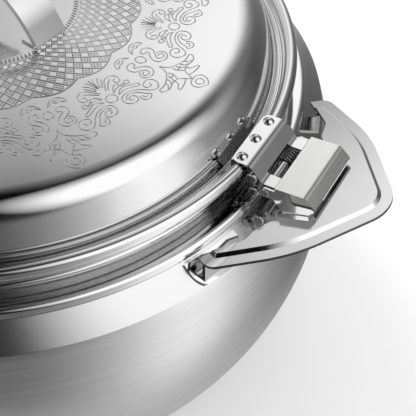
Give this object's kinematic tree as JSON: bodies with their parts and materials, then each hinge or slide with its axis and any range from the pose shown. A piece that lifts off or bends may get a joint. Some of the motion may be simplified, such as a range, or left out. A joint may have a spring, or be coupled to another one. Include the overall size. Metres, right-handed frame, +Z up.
{
  "type": "insulated serving casserole with hinged lid",
  "caption": "Double-walled stainless steel bread casserole with a hinged domed lid, wing handles and a sprung box-lever latch.",
  "frame": {"origin": "on the floor at the centre of the round base", "axes": "+Z up along the pot's axis, +X towards the latch and the front handle, +Y to the left when the latch faces away"},
  "size_m": [0.3508, 0.2828, 0.1864],
  "materials": {
    "mirror_steel": "mirror polished stainless steel",
    "satin_steel": "fine horizontal satin brushed stainless steel",
    "bowl_steel": "bright spun stainless steel",
    "lever_steel": "brushed stainless steel with a polished edge",
    "fitting_steel": "bright pressed stainless steel",
    "rivet_steel": "polished stainless steel",
    "spring_steel": "drawn spring wire",
    "foam": "rigid insulating foam",
    "plug_plastic": "matt black plastic"
  },
  "bodies": {
    "body": {"outer_shell": "satin_steel", "inner_bowl": "bowl_steel", "neck_ring": "mirror_steel", "body_insulation": "foam", "base_plate": "satin_steel", "filling_plug": "plug_plastic", "latch_bracket": "fitting_steel", "catch_pin": "rivet_steel", "hinge_bracket": "fitting_steel", "hinge_pin": "rivet_steel", "front_handle": "mirror_steel", "front_handle_tabs": "mirror_steel", "rear_handle": "mirror_steel", "rear_handle_tabs": "mirror_steel"},
    "lid": {"lid_shell": "mirror_steel", "lid_liner": "bowl_steel", "lid_insulation": "foam", "lid_handle": "mirror_steel", "handle_washers": "fitting_steel", "handle_nuts": "fitting_steel", "catch_plate": "mirror_steel", "latch_saddle": "fitting_steel", "catch_backing_plate": "fitting_steel", "catch_rivets": "rivet_steel", "lever_pivot_rod": "rivet_steel", "lever_stop_pin": "rivet_steel", "spring_anchor_pin": "rivet_steel", "latch_spring": "spring_steel", "lid_hinge_leaf": "mirror_steel", "hinge_saddle": "fitting_steel", "hinge_backing_plate": "fitting_steel", "hinge_rivets": "rivet_steel"},
    "latch_lever": {"lever_cover": "lever_steel", "lever_tray": "lever_steel"}
  },
  "joints": [
    {"name": "lid_hinge", "type": "hinge", "parent": "body", "child": "lid", "pos_m": [-0.1335, 0, 0.133], "axis": [0, -1, 0], "range_deg": [0, 95]},
    {"name": "latch_pivot", "type": "hinge", "parent": "lid", "child": "latch_lever", "pos_m": [0.1331, 0, 0.135], "axis": [0, -1, 0], "range_deg": [-4.5, 62], "stiffness_Nm_per_rad": 0.1, "springref_deg": -25.78, "deforming": ["latch_spring"]}
  ]
}
